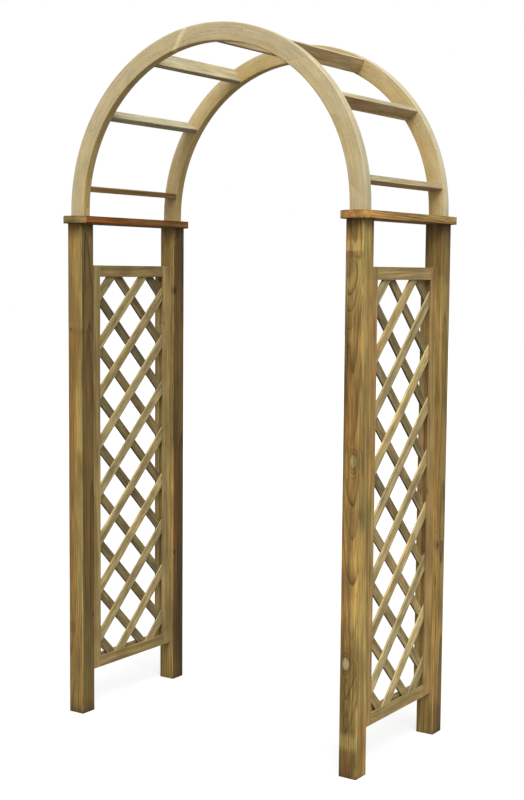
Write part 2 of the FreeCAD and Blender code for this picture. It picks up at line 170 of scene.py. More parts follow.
def timber(name, look, knots=()):
    material = bpy.data.materials.new(name)
    add = clearTree(material)
    grain, stain = (add("Attribute", output="Vector", attribute_name=label) for label in ("grain", "stain"))
    lightness, warmth, greenness = add(splitVector, [stain], None)
    logX, logY, logZ = add(splitVector, [grain], None)

    # the trunk wanders, so the rings waver along a board
    spot = add(vectorTimes, [grain, look["wanderScale"]])
    wander = add(noise, {"Vector": spot, "Scale": 1.0, "Detail": limits["wanderDetail"]}, "Color")
    centred = add((vectorMath, "SUBTRACT"), [wander, (0.5, 0.5, 0.5)])
    reach = (look["wander"], look["wander"], 0)
    bent = add((vectorMath, "MULTIPLY_ADD"), [centred, reach, grain])
    flat = add(vectorTimes, [bent, (1, 1, 0)])
    radius = add((vectorMath, "LENGTH"), [flat], "Value")

    # knots: branches that leave the pith square to it, each a cone round its own direction;
    # the rings bulge round a knot and hang down to a point below it
    turn = add((scalarMath, "ARCTAN2"), [logY, logX])
    turnRun = add(joinVector, [turn, logZ, 0.0])
    cores = []
    knotGap = tailShare = None
    for (x, y, z), size, tint, pull in knots:
        angle, distance = atan2(y, x), hypot(x, y)
        away = add(vectorPlus, [turnRun, (-angle, -z, 0)])
        gapScale = (distance / size, 1 / (size * look["knotStretch"]), 0)
        gap = add(vectorTimes, [away, gapScale])
        gap = add((vectorMath, "LENGTH"), [gap], "Value")
        gap = add(timesPlus, [centred, look["knotWaver"], gap])
        if tint:
            cores.append((gap, tint))
            knotGap = add((scalarMath, "MINIMUM"), [knotGap, gap]) if knotGap else gap
        if not pull:
            continue
        tailScale = (distance / look["tailWidth"], -1 / look["tail"], 0)
        tail = add(vectorTimes, [away, tailScale])
        tailAcross, tailDown = add(splitVector, [tail], None)[:2]
        tailUp = add(times, [tailDown, -look["tailAbove"]])
        tailDown = add((scalarMath, "SMOOTH_MAX"), [tailDown, tailUp, look["tailSoft"]])
        tailAcross = add((scalarMath, "ABSOLUTE"), [tailAcross])
        tail = add(plus, [tailDown, tailAcross])
        tail = add(remap, [tail, 0.0, 1.0, pull, 0.0])
        radius = add(timesPlus, [tail, -look["tailDraw"], radius])
        tailShare = add((scalarMath, "MAXIMUM"), [tail, tailShare or 0.0])
    if cores:
        byKnot = add(remap, [knotGap, limits["swirlFrom"], look["swirlReach"], 1.0, 0.0])
        radius = add(timesPlus, [add(times, [byKnot, byKnot]), look["swirl"], radius])

    # pale early wood, then a darker line at the end of the year that stops sharply
    years = add((scalarMath, "DIVIDE"), [radius, look["ringWidth"]])
    season = add((scalarMath, "FRACT"), [years])
    rise = add((scalarMath, "POWER"), [season, look["lateEdge"]])
    fall = add(remap, [season, *limits["yearEnd"], 1.0, 0.0], interpolation_type="SMOOTHSTEP")
    late = add(times, [rise, fall])

    # each year is darker or paler than the one before it
    year = add((scalarMath, "FLOOR"), [years])
    yearTone = add("TexWhiteNoise", {"W": year}, "Value", noise_dimensions="1D")
    depth = add(remap, [yearTone, 0.0, 1.0, look["lateLow"], look["lateHigh"]])
    if tailShare:
        depth = add(timesPlus, [tailShare, look["tailDark"], depth])
    if cores:
        clear = add(remap, [knotGap, *limits["ringsBack"], 0.0, 1.0])
        depth = add(times, [depth, clear])
    lateShare = add(times, [late, depth])

    # four sizes of streak: fibres, narrow streaks, bands of colour and blotches of treatment
    fields = {}
    for label in ("fibre", "streak", "band", "blotch"):
        spot = add(vectorTimes, [grain, look[label + "Scale"]])
        fields[label] = add(noise, {"Vector": spot, "Scale": 1.0, "Detail": limits["streakDetail"]}, None)
    fibre, streak, blotch = (fields[label]["Fac"] for label in ("fibre", "streak", "blotch"))
    bandRed, bandGreen, bandDark = add("SeparateColor", [fields["band"]["Color"]], None)

    # tints, each laid over the ones before it by its share, and factors that darken or lighten the result
    heartEdge = [look["heart"] + way * limits["heartEdge"] for way in (-1, 1)]
    heart = add(remap, [radius, *heartEdge, look["heartShare"], 0.0], interpolation_type="SMOOTHSTEP")
    tints = [(lateShare, look["late"]), (heart, look["heartwood"])]
    for patch, extra, tint in ((bandRed, warmth, "russet"), (bandGreen, greenness, "olive")):
        share = add(remap, [patch, *limits["patch"], 0.0, look["patches"]])
        share = add(plus, [share, extra], use_clamp=True)
        tints.append((share, look[tint]))
    factors = [lightness]
    for field, label in ((fibre, "fibres"), (streak, "streaks"), (bandDark, "bands"), (blotch, "blotches")):
        factors.append(add(remap, [field, *limits["streak"], 1.0 - look[label], 1.0 + look[label]]))
    # short dark dashes: resin pockets and fine checks
    factors.append(add(remap, [streak, *limits["dash"], 1.0, 1.0 - look["dashes"]]))
    if cores:
        # thin dark lines round a knot, fainter farther out
        wave = add(minus, [knotGap, look["knotFirst"]])
        wave = add(times, [wave, 2 * pi / look["knotStep"]])
        wave = add((scalarMath, "COSINE"), [wave])
        wave = add(remap, [wave, *limits["line"], 0.0, -look["knotLines"]])
        outside = add(remap, [knotGap, *limits["linesFrom"], 0.0, 1.0])
        outside = add(times, [outside, byKnot])
        factors.append(add(timesPlus, [wave, outside, 1.0]))
    for gap, tint in cores:
        core = add(remap, [gap, *limits["core"], look["knotShare"], 0.0], interpolation_type="SMOOTHSTEP")
        tints.append((core, tint))
        fromRim = add(minus, [gap, 1.0])
        fromRim = add((scalarMath, "ABSOLUTE"), [fromRim])
        factors.append(add(remap, [fromRim, *limits["rim"], look["knotRim"], 1.0]))
    colour = hexColour(look["early"])
    for share, tint in tints:
        colour = add("Mix", {0: share, 6: colour, 7: hexColour(tint)}, 2, data_type="RGBA")
    shade = add(timesPlus, [lateShare, -look["ringDark"], 1.0])
    for factor in factors:
        shade = add(times, [shade, factor])
    colour = add(vectorScaled, {0: colour, "Scale": shade})

    relief = add(timesPlus, [fibre, limits["fibreRelief"], lateShare])
    bump = add("Bump", {"Height": relief, "Strength": look["bump"], "Distance": limits["relief"]})
    surface = add("BsdfPrincipled", {
        "Base Color": colour, "Normal": bump, "Roughness": look["roughness"],
        "Specular IOR Level": look["specular"]})
    add("OutputMaterial", [surface])
    return material


# Shapes in mesh code
shapes = {
    "leastTurn": 0.3,  # radians: an edge that turns less isn't eased
    "endFacing": 0.6,  # a face that looks along the piece more than this is an end
}


def boxOf(node):
    low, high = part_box(node)
    return low, high, (low + high) / 2, (high - low) / 2


def rectangle(low, high):
    return [(low[0], low[1]), (high[0], low[1]), (high[0], high[1]), (low[0], high[1])]


def skin(bm, loops):
    # a face over each end, and faces from each loop of vertices to the next
    bm.faces.new(loops[0][::-1])
    bm.faces.new(loops[-1])
    for near, far in zip(loops, loops[1:]):
        for i in range(len(near)):
            following = (i + 1) % len(near)
            bm.faces.new((near[i], near[following], far[following], far[i]))
    bmesh.ops.recalc_face_normals(bm, faces=bm.faces)
    return bm


def prism(profile, origin, along, across, length, bm=None):
    # a straight bar with that section, given as (across, up) corners, as a new mesh or added to that one
    up = along.cross(across)
    bm = bm or bmesh.new()
    near = [bm.verts.new(origin + across * x + up * y) for x, y in profile]
    far = [bm.verts.new(vertex.co + along * length) for vertex in near]
    return skin(bm, [near, far])


def easeEdges(bm, facts, along=None):
    # planed arrises: only the edges that stick out are rounded, all of them or those that run along that axis
    edges = []
    for edge in bm.edges:
        run = (edge.verts[1].co - edge.verts[0].co).normalized()
        wanted = along is None or abs(run.dot(along)) > sameWay
        if wanted and edge.calc_face_angle_signed(0) > shapes["leastTurn"]:
            edges.append(edge)
    made = bmesh.ops.bevel(bm, geom=edges, offset=facts["ease"], segments=facts["easeSteps"], profile=0.5,
                           affect="EDGES")
    for face in made["faces"]:
        face.smooth = True


def cutAt(bm, axis, places):
    # so that a stain can change at each of them
    for place in places:
        everything = bm.verts[:] + bm.edges[:] + bm.faces[:]
        bmesh.ops.bisect_plane(bm, geom=everything, plane_co=axis * place, plane_no=axis)


def finishMesh(bm, name, materials=(), endsAlong=None):
    # the second material goes on the sawn ends
    if endsAlong is not None:
        for face in bm.faces:
            face.material_index = int(abs(face.normal.dot(endsAlong)) > shapes["endFacing"])
    mesh = bpy.data.meshes.new(name)
    bm.to_mesh(mesh)
    bm.free()
    for material in materials:
        mesh.materials.append(material)
    return mesh


def camelCase(words):
    first, *others = words.split("_")
    return first + "".join(word.title() for word in others)


def settle(piece, nodes):
    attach(piece, "root")
    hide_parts(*nodes)
    return piece


def newObject(words, data):
    made = bpy.data.objects.new(camelCase(words), data)
    scene.collection.objects.link(made)
    return made


# Geometry Nodes helpers
def startTree(name, inputs):
    tree = bpy.data.node_groups.new(name, "GeometryNodeTree")
    for label, kind in [("Geometry", "Geometry"), *inputs.items()]:
        tree.interface.new_socket(label, in_out="INPUT", socket_type="NodeSocket" + kind)
    tree.interface.new_socket("Geometry", in_out="OUTPUT", socket_type="NodeSocketGeometry")
    add = partial(addNode, tree)
    return tree, add, add("NodeGroupInput", output=None)


def varyCopies(add, grown, given, number, spread, values):
    # stores each value with a random shift that is the same all over one copy
    for label, (value, domain) in values.items():
        least, most = spread[label]
        pick = add("FunctionNodeRandomValue", {0: least, 1: most, "ID": number, "Seed": given["Seed"]},
                   data_type="FLOAT_VECTOR")
        value = add(vectorPlus, [value, pick])
        grown = add("StoreNamedAttribute", {"Geometry": grown, "Name": label, "Value": value},
                    data_type="FLOAT_VECTOR", domain=domain)
    return grown


def endTree(add, grown, material):
    dressed = add("SetMaterial", {"Geometry": grown, "Material": material})
    add("NodeGroupOutput", [dressed])


def growPiece(words, base, tree, inputs, nodes, shift=(0, 0, 0)):
    # runs a tree on a base mesh and keeps the result as a plain mesh
    piece = newObject(words, base)
    modifier = piece.modifiers.new(tree.name, "NODES")
    modifier.node_group = tree
    for item in tree.interface.items_tree:
        if item.in_out == "INPUT" and item.name in inputs:
            modifier[item.identifier] = inputs[item.name]
    graph = bpy.context.evaluated_depsgraph_get()
    evaluated = piece.evaluated_get(graph)
    mesh = bpy.data.meshes.new_from_object(evaluated, preserve_all_data_layers=True, depsgraph=graph)
    piece.modifiers.remove(modifier)
    piece.data = mesh
    mesh.name = piece.name
    mesh.transform(Matrix.Translation(shift))
    return settle(piece, nodes)


# Pressure-treated pine, planed: matt, olive-brown, ring lines and fibres along the piece, knots with swirls
postLook = {
    "early": "#ab894d", "late": "#4a3011", "heartwood": "#724e22", "russet": "#936428", "olive": "#897c44",
    "ringWidth": 0.0062, "wander": 0.013, "wanderScale": (9, 9, 1.7), "lateEdge": 3.5, "ringDark": 0.45,
    "lateLow": 0.3, "lateHigh": 1.0, "fibreScale": (260, 260, 6), "fibres": 0.32,
    "streakScale": (150, 150, 9), "streaks": 0.27, "bandScale": (52, 52, 1.6), "bands": 0.34,
    "blotchScale": (10, 10, 6), "blotches": 0.24,
    "patches": 0.5, "dashes": 0.35, "heart": 0.062, "heartShare": 0.4, "swirl": 0.016, "swirlReach": 2.5,
    "tail": 0.29, "tailWidth": 0.085, "tailAbove": 4.0, "tailSoft": 0.7, "tailDraw": 0.024, "tailDark": 0.8,
    "knotStretch": 1.7, "knotWaver": 0.4, "knotLines": 0.75, "knotFirst": 1.45, "knotStep": 0.6,
    "knotShare": 0.85, "knotRim": 0.7, "bump": 0.35, "roughness": 0.78, "specular": 0.3,
}
# Sawn ends of the same pine: no fibres along the face, rings and pores end on
endLook = dict(
    postLook, early="#8d7145", late="#4d381c", russet="#a5662c", ringDark=0.3, fibreScale=(500, 500, 300))
endTimber = timber("treatedPineEndGrain", endLook)


def sawnPiece(node, bm, material, ends, place, stains):
    mesh = finishMesh(bm, node, (material, endTimber), ends)
    writeGrain(mesh, place)
    stainFaces(mesh, stains, *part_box(node))
    settle(newObject(node, mesh), [node])


def knottyTimber(node, look, knots, place):
    spots = [(place(Vector(spot)), *facts) for spot, *facts in knots]
    return timber(camelCase(node) + "Pine", look, spots)


# Posts: square, with eased arrises
posts = {
    "ease": 0.003, "easeSteps": 3, "stripeReach": 0.034, "rest": (1.0, 0.1, 0.1),
    # the pith from the post's middle, how it leans for each metre, what its look changes, the knots (place,
    # radius, colour of the core, how much they draw the rings down) and the stains: lightness, warmth and
    # greenness, and what is added to them from each height on, the darkening just under the cap being
    # painted shade
    "front_left": {
        "pith": (-0.04, 0.05), "tilt": (0.012, 0.03),
        "look": {"fibres": 0.22, "streaks": 0.17, "bands": 0.16, "blotches": 0.17},
        "knots": [
            ((-0.641, -0.325, 0.345), 0.011, "#8f5d24", 0.3), ((-0.588, -0.262, 0.39), 0.006, "#4a2c17", 0),
            ((-0.645, -0.325, 1.522), 0.004, "#4a3417", 0), ((-0.588, -0.28, 1.532), 0.005, "#3f2c14", 0)],
        "front": [(0.84, 0.3), (0.96, 0.1, 0.05)], "right": [(0.5, 0, 0.25), (0.44, 0.3)],
        # the levels from 1.9 m up, here and on the right face, just under the cap, are painted shade
        "levels": [
            (0, -0.55), (0.03, -0.34), (0.07, -0.2), (0.3, -0.16, 0.1), (0.6, -0.06, 0.1), (1.3, -0.04, 0.15),
            (1.5, -0.1, 0.1), (1.515, -0.22), (1.535, 0, -0.05, 0.1), (1.7, 0.08, -0.15, 0.2),
            (1.86, 0.12, -0.15, 0.2), (1.9, -0.12, 0, 0.1), (1.94, -0.36, 0, 0.1)],
        "rightLevels": [
            (0, -0.2), (0.03, -0.06, 0, 0.1), (0.06, 0.04, -0.1, 0.2), (0.25, 0.06, -0.1, 0.2), (0.42, -0.03),
            (1.5, 0, 0.1), (1.515, -0.12), (1.535, 0, 0, 0.1), (1.86, 0.02, -0.1, 0.1), (1.9, -0.1, 0, 0.1),
            (1.94, -0.22, 0, 0.1)],
        # the arris: pale streaks with a painted highlight
        "arris": [(0, 0), (0.02, 0.3, -0.3, 0.5), (0.45, 0.3, -0.3, 0.5), (0.52, 0)],
        "frontStripe": [
            (0, 0), (0.38, 0), (0.52, 0.2, -0.5, 0.6), (0.9, 0.18, -0.5, 0.6), (0.97, -0.02, 0, 0.1),
            (1.03, 0, 0, 0.1), (1.07, 0.2, -0.5, 0.5), (1.35, 0.1, -0.4, 0.4), (1.5, 0)]},
    "front_right": {
        "pith": (0.014, 0.095), "tilt": (0.01, 0.03),
        "look": {"fibres": 0.36, "streaks": 0.26, "lateEdge": 6.0, "ringDark": 0.62},
        "knots": [
            ((0.631, -0.325, 1.11), 0.0172, "#9f9862", 0.12),
            ((0.6105, -0.325, 0.404), 0.016, "#d8c894", 1.0), ((0.599, -0.325, 1.764), 0.012, "#8f7040", 1.0),
            ((0.64, -0.325, 1.8), 0.0035, "#755b30", 0)],
        "front": [(0.82, 0.3), (1.16, 0.05, 0.1)], "right": [(1.1, 0, 0.2), (1.14, 0.15)],
        # the levels from 1.89 m up here and from 1.915 m up on the right face, under the cap, are painted
        # shade
        "levels": [
            (0, -0.62, 0.2), (0.022, -0.46, 0.4), (0.09, -0.42, 0.4), (0.115, -0.06, -0.2, 0.4),
            (0.14, -0.06, -0.2, 0.3), (0.165, -0.42, 0.3), (0.35, -0.34, 0.25), (0.5, -0.22, 0.1, 0.05),
            (0.62, -0.06, 0.1), (0.95, -0.06, 0.1), (1.2, -0.12, 0.2), (1.32, -0.24, 0.2),
            (1.56, -0.18, 0.15), (1.68, 0, -0.1, 0.15), (1.74, 0.12, -0.2, 0.25), (1.793, 0.12, -0.2, 0.25),
            (1.8, -0.1, 0.1), (1.818, -0.1, 0.1), (1.826, 0.32, -0.3, 0.15), (1.852, 0.32, -0.3, 0.15),
            (1.862, 0), (1.89, -0.2, 0.1), (1.92, -0.46, 0.2), (1.94, -0.62, 0.2)],
        "rightLevels": [
            (0, -0.4, 0.1), (0.022, -0.15, 0.4), (0.18, -0.02, 0.3), (0.26, 0.04, -0.1, 0.25),
            (0.55, 0.04, -0.1, 0.2), (0.75, 0, 0, 0.1), (0.86, -0.03, 0, 0.1), (0.92, -0.1, -0.1, 0.5),
            (1.05, 0.14, 0, 0.1), (1.5, 0.14, 0, 0.1), (1.6, 0.06, 0, 0.2), (1.88, 0.06, -0.1, 0.35),
            (1.915, -0.4), (1.94, -0.6)],
        # the arris: pale streaks with a painted highlight
        "arris": [
            (0, 0.2), (0.018, 0.45), (0.05, 0.1), (0.09, 0.3), (0.16, 0.3), (0.2, 0), (0.235, 0.35),
            (0.26, 0)]},
    "rear_left": {
        "pith": (-0.06, 0.05), "tilt": (0.015, 0.03), "look": {"fibres": 0.2, "streaks": 0.16},
        "knots": [
            ((-0.588, 0.262, 1.668), 0.012, "#33230f", 0.4), ((-0.588, 0.262, 0.554), 0.007, "#3d2a13", 0),
            ((-0.62, 0.255, 1.838), 0.008, None, 0.5)],
        "front": (1.08, 0, 0.2), "right": [(0.43, 0.35), (0.33, 0.35)],
        "levels": [
            # the levels from 1.88 m up, under the cap, are painted shade
            (0, -0.5), (0.022, -0.4, 0.1), (0.07, -0.3, 0.1), (0.16, -0.08), (1.2, -0.06), (1.7, 0),
            (1.84, 0.1), (1.88, -0.1), (1.91, -0.38, 0.1), (1.94, -0.5, 0.1)],
        "rightLevels": [(0, -0.2), (0.022, -0.1), (0.6, -0.08), (1.2, -0.04), (1.94, 0)]},
    "rear_right": {
        "pith": (-0.06, 0.03), "tilt": (0.01, 0.02), "look": {"fibres": 0.24, "streaks": 0.2, "bands": 0.28},
        "knots": [
            ((0.658, 0.266, 0.73), 0.01, "#46301a", 0.3), ((0.658, 0.275, 1.555), 0.004, "#5a3a1a", 0)],
        "front": (1.12, 0.05, 0.25), "right": [(0.95, 0.1, 0.1), (0.7, 0, 0.3)],
        # the levels from 1.78 m up, under the cap, are painted shade
        "levels": [
            (0, -0.55), (0.022, -0.4), (0.09, -0.4, 0.1), (0.14, -0.14, 0.1), (0.3, -0.05, 0.1),
            (1.0, 0, 0.1), (1.7, 0), (1.78, -0.2), (1.9, -0.45, 0.2), (1.94, -0.68, 0.2)]},
}
for corner in corners:
    post = posts[corner]
    node = "post_" + corner
    low, high, middle, half = boxOf(node)
    foot = middle - zAxis * half.z
    bm = prism(rectangle(-half, half), foot, zAxis, xAxis, 2 * half.z)
    easeEdges(bm, posts, zAxis)
    changes = [post.get(label, ()) for label in ("levels", "rightLevels", "arris", "frontStripe")]
    heights = {level[0] for levels in changes for level in levels}
    cutAt(bm, zAxis, sorted(z for z in heights if low.z < z < high.z))
    if "frontStripe" in post:
        for reach in (posts["stripeReach"], posts["stripeReach"] / 2):
            cutAt(bm, xAxis, [high.x - reach])
            cutAt(bm, yAxis, [low.y + reach])
    place = grainSpace(foot, zAxis, xAxis, post["pith"], post["tilt"])
    material = knottyTimber(node, dict(postLook, **post["look"]), post["knots"], place)
    sawnPiece(node, bm, material, zAxis, place, {**posts, **post})
print("posts done")

# Caps: planed boards with clipped corners, redder timber, end grain on the ends and clips
capLook = dict(
    postLook, early="#a27b42", late="#4f2f12", russet="#93551d", olive="#8b7f52", ringWidth=0.0075,
    wander=0.012, lateEdge=2.0, ringDark=0.7, streaks=0.36, dashes=0.65, specular=0.15)
caps = {
    "ease": 0.002, "easeSteps": 2, "clip": 0.032, "tilt": (0.01, 0.02),
    # darker along the upper and lower edges: painted shade at the arrises
    "levels": [(1.93, -0.5), (1.936, -0.08), (1.945, 0.1), (1.953, 0), (1.958, -0.5)],
    "left": {"pith": (0.02, -0.05), "rest": [(1.05, 0.1, 0.2), (1.15, 0, 0.3)],
             "right": [(0.9, 0.9, -0.2), (0.92, 0.75, -0.1)]},
    "right": {"pith": (-0.03, -0.06), "rest": [(1.6, 0.4), (1.12, 0.4, 0.1)],
              "right": [(1.3, 0.35, 0.15), (1.6, 0, 0.35)]},
}
capTimber = timber("treatedPineCap", capLook)
for side in sides:
    node = "cap_" + side
    middle, half = boxOf(node)[2:]
    clippedX, clippedY = half.x - caps["clip"], half.y - caps["clip"]
    outline = [(-clippedX, -half.y), (clippedX, -half.y), (half.x, -clippedY), (half.x, clippedY),
               (clippedX, half.y), (-clippedX, half.y), (-half.x, clippedY), (-half.x, -clippedY)]
    bm = prism(outline, middle - zAxis * half.z, zAxis, xAxis, 2 * half.z)
    easeEdges(bm, caps)
    cutAt(bm, zAxis, [level[0] for level in caps["levels"][1:-1]])
    stains = dict(caps[side], levels=caps["levels"])
    place = grainSpace(middle, yAxis, -xAxis, caps[side]["pith"], caps["tilt"])
    sawnPiece(node, bm, capTimber, yAxis, place, stains)
print("caps done")

# Panel frames: grooved stiles and rails, the rails tongued into the stiles
frameLook = dict(
    postLook, early="#ad9360", late="#6d4d23", russet="#926c37", olive="#887a47", ringWidth=0.004,
    wander=0.012, lateLow=0.2, lateHigh=0.8, ringDark=0.25, heartShare=0.3, fibres=0.26, streaks=0.19,
    bands=0.24)
panel = {
    "ease": 0.0012, "easeSteps": 2, "grooveDepth": 0.012, "grooveBack": -0.00025, "grooveFront": 0.01625,
    "tongue": 0.011, "tongueBack": 0.0, "tongueFront": 0.016,
    # the range in which each pith lies
    "stilePith": ((-0.09, -0.05), (-0.04, 0.04)), "stileTilt": (0.01, 0.015),
    "railPith": ((-0.09, -0.06), (-0.03, 0.03)), "railTilt": (0.01, 0.02),
    "stain": {
        "stile_left_front": (0.92, 0, 0.25), "stile_left_rear": (0.92, 0, 0.25),
        "stile_right_front": (0.96, 0.4), "stile_right_rear": (0.96, 0.4),
        "rail_left_bottom": (0.86, 0.1, 0.1), "rail_left_top": (0.67, 0.1, 0.1),
        "rail_right_bottom": (0.95, 0.05, 0.15), "rail_right_top": (0.92, 0, 0.2)},
    "knots": {
        "stile_right_rear": [((0.637, 0.199, 0.943), 0.006, "#6f6440", 0)],
        "stile_left_rear": [((-0.602, 0.207, 1.534), 0.004, "#4d3a1c", 0)]},
}
frameTimber = timber("treatedPineFrame", frameLook)


def groovedProfile(halfThick, halfWidth, grooveSide):
    # a bar's section with a groove along one edge: grooveSide is 1 for the high edge, -1 for the low one
    edge = grooveSide * halfWidth
    bottom = edge - grooveSide * panel["grooveDepth"]
    back, front = panel["grooveBack"], panel["grooveFront"]
    return [(-halfThick, -edge), (halfThick, -edge), (halfThick, edge), (front, edge), (front, bottom),
            (back, bottom), (back, edge), (-halfThick, edge)]


def framePiece(node, bm, ends, origin, kind):
    pith = [dice.uniform(*reach) for reach in panel[kind + "Pith"]]
    place = grainSpace(origin, ends, xAxis, pith, panel[kind + "Tilt"])
    knots = panel["knots"].get(node)
    material = knottyTimber(node, frameLook, knots, place) if knots else frameTimber
    sawnPiece(node, bm, material, ends, place, {"rest": panel["stain"][node]})


for side in sides:
    for row, grooveSide in (("front", 1), ("rear", -1)):
        node = f"stile_{side}_{row}"
        middle, half = boxOf(node)[2:]
        foot = middle - zAxis * half.z
        bm = prism(groovedProfile(half.x, half.y, grooveSide), foot, zAxis, xAxis, 2 * half.z)
        easeEdges(bm, panel)
        framePiece(node, bm, zAxis, foot, "stile")
    for height, grooveSide in (("bottom", 1), ("top", -1)):
        node = f"rail_{side}_{height}"
        middle, half = boxOf(node)[2:]
        shoulder = half.y - panel["tongue"]
        profile = groovedProfile(half.x, half.z, grooveSide)
        bm = prism(profile, middle + yAxis * shoulder, -yAxis, xAxis, 2 * shoulder)
        easeEdges(bm, panel)
        # the tongues stop short of the groove for the slats
        tongueLow, tongueHigh = sorted((-grooveSide * half.z, grooveSide * (half.z - panel["grooveDepth"])))
        tongue = rectangle((panel["tongueBack"], tongueLow), (panel["tongueFront"], tongueHigh))
        for farEnd in (half.y, -shoulder):
            prism(tongue, middle + yAxis * farEnd, -yAxis, xAxis, panel["tongue"], bm)
        framePiece(node, bm, -yAxis, middle, "rail")
print("panel frames done")

# Lattice: one eased slat of sawn pine, repeated up the panel, leaned over and cut off inside the groove
slatLook = dict(
    frameLook, early="#b09d6b", late="#786336", olive="#8f855e", ringWidth=0.0035, lateLow=0.1, lateHigh=0.6,
    fibres=0.28, streaks=0.27, streakScale=(190, 190, 22), blotchScale=(30, 30, 12), blotches=0.3, dashes=0.6,
    heartShare=0.15, roughness=0.85, bump=0.5)
slats = {
    "width": 0.038, "thick": 0.008, "ease": 0.0012, "easeSteps": 2, "long": 0.84, "count": 10, "seed": 5,
    # upper slat edges get painted light and lower ones painted shade, by how far they face up
    "pitchUp": 0.196, "pitchAlong": 0.199, "paintedEdgeShading": 0.32, "highTone": -0.14,
    "region": (0.02, 0.42, 1.542),  # the box that they are cut to
    "rising": {"back": 0.008, "turn": 1, "stain": (1.13, 0.03, 0.1)}, "left": (-0.12, -0.05),
    # the falling slats, behind the rising ones, are stained darker: painted shade
    "falling": {"back": 0.0, "turn": -1, "stain": (0.67, 0.17)}, "right": (0,),
    # how far one slat may differ from another
    "spread": {"grain": ((-0.03, 0.04, 30.0), (0.03, 0.1, 60.0)),
               "stain": ((-0.1, -0.1, -0.1), (0.1, 0.2, 0.35))},
}
slatTimber = timber("sawnPineSlat", slatLook)
slatTree, add, given = startTree("latticeSlats", {
    "Pitch": "Float", "Count": "Int", "Lowest": "Float", "Lean": "Float", "Region": "Vector",
    "Stain": "Vector", "Seed": "Int"})
firstSlat, stepUp = (add(joinVector, {2: given[label]}) for label in ("Lowest", "Pitch"))
line = add("MeshLine", {"Count": given["Count"], "Start Location": firstSlat, "Offset": stepUp})
lean = add("FunctionNodeEulerToRotation", [add(joinVector, [given["Lean"]])])
copies = add("InstanceOnPoints", {"Points": line, "Instance": given["Geometry"], "Rotation": lean})
uncut = add("RealizeInstances", [copies])
region = add("MeshCube", {"Size": given["Region"]})
grown = add("MeshBoolean", {1: [uncut, region]}, operation="INTERSECT", solver="EXACT")
# which slat a point is on, and where on it, from its place with the lean taken out
position = add("InputPosition")
leanBack = add(times, [given["Lean"], -1.0])
straight = add("ShaderNodeVectorRotate", {"Vector": position, "Angle": leanBack}, rotation_type="X_AXIS")
slatX, slatY, slatZ = add(splitVector, [straight], None)
apart = add((scalarMath, "COSINE"), [given["Lean"]])
apart = add(times, [apart, given["Pitch"]])
number = add((scalarMath, "DIVIDE"), [slatZ, apart])
number = add((scalarMath, "FLOOR"), [number])
centre = add(plus, [number, 0.5])
centre = add(times, [centre, apart])
within = add(minus, [slatZ, centre])
along = add(timesPlus, [number, pieceStep, slatY])
inLog = add(joinVector, [within, slatX, along])
# painted light and shade: upper edges paler than the faces and lower ones darker, as if lit from above;
# and the slats get darker towards the panel's top
normal = add("InputNormal")
normal = add("FieldOnDomain", [normal], data_type="FLOAT_VECTOR", domain="FACE")
facingUp, upPanel = (add(splitVector, [vector], 2) for vector in (normal, position))
paintedEdgeShading = add(times, [facingUp, slats["paintedEdgeShading"]])
paintedEdgeShading = add(timesPlus, [upPanel, slats["highTone"], paintedEdgeShading])
toned = add(vectorPlus, [given["Stain"], add(joinVector, [paintedEdgeShading])])
values = {"grain": (inLog, "POINT"), "stain": (toned, "CORNER")}
endTree(add, varyCopies(add, grown, given, number, slats["spread"], values), slatTimber)
slatLean = atan2(slats["pitchUp"], slats["pitchAlong"])
slatHalf = Vector((slats["thick"], slats["width"])) / 2
for side in sides:
    middle = boxOf(f"stile_{side}_front")[2]
    for layer in ("rising", "falling"):
        bm = prism(rectangle(-slatHalf, slatHalf), yAxis * slats["long"] / 2, -yAxis, xAxis, slats["long"])
        easeEdges(bm, slats, yAxis)
        inputs = {
            "Pitch": slats["pitchUp"], "Count": slats["count"], "Region": slats["region"],
            "Lowest": (1 - slats["count"]) / 2 * slats["pitchUp"], "Lean": slats[layer]["turn"] * slatLean,
            "Stain": toneOf(slats[layer]["stain"]) + toneOf(slats[side]),
            "Seed": slats["seed"] + len(side + layer)}
        seat = (middle.x + slats[layer]["back"] + slatHalf.x, 0, middle.z)
        growPiece(f"slats_{side}_{layer}", finishMesh(bm, "slat"), slatTree, inputs,
                  [f"lattice_{side}_{layer}_slats"], seat)
print("lattice done")

# Arch repeats: one piece, turned about the hoop's centre at equal angles, each copy with grain of its own
archSpread = {  # how far one copy may differ from another
    "grain": ((-0.02, -0.02, 0.0), (0.02, 0.02, 1.0)), "stain": ((-0.03, -0.04, -0.04), (0.03, 0.06, 0.06)),
}
archTree, add, given = startTree("roundTheArch", {
    "Count": "Int", "First Angle": "Float", "Step Angle": "Float", "Seed": "Int", "Odd Copy": "Int",
    "Odd Stain": "Vector", "Side Stain": "Vector", "Material": "Material"})
line = add("MeshLine", {"Count": given["Count"], "Offset": (0, 0, 0)})
index = add("InputIndex")
angle = add(timesPlus, [index, given["Step Angle"], given["First Angle"]])
turn = add("FunctionNodeEulerToRotation", [add(joinVector, {1: add(times, [angle, -1.0])})])
copies = add("InstanceOnPoints", {"Points": line, "Instance": given["Geometry"], "Rotation": turn})
copies = add("StoreNamedAttribute", {"Geometry": copies, "Name": "copy", "Value": index},
             data_type="INT", domain="INSTANCE")
grown = add("RealizeInstances", [copies])
copy = add("InputNamedAttribute", {"Name": "copy"}, data_type="INT")
upLog = add(joinVector, {2: add(times, [copy, pieceStep])})
odd = add("FunctionNodeCompare", {2: copy, 3: given["Odd Copy"]}, data_type="INT", operation="EQUAL")
oddTone = add(vectorScaled, {0: given["Odd Stain"], "Scale": odd})
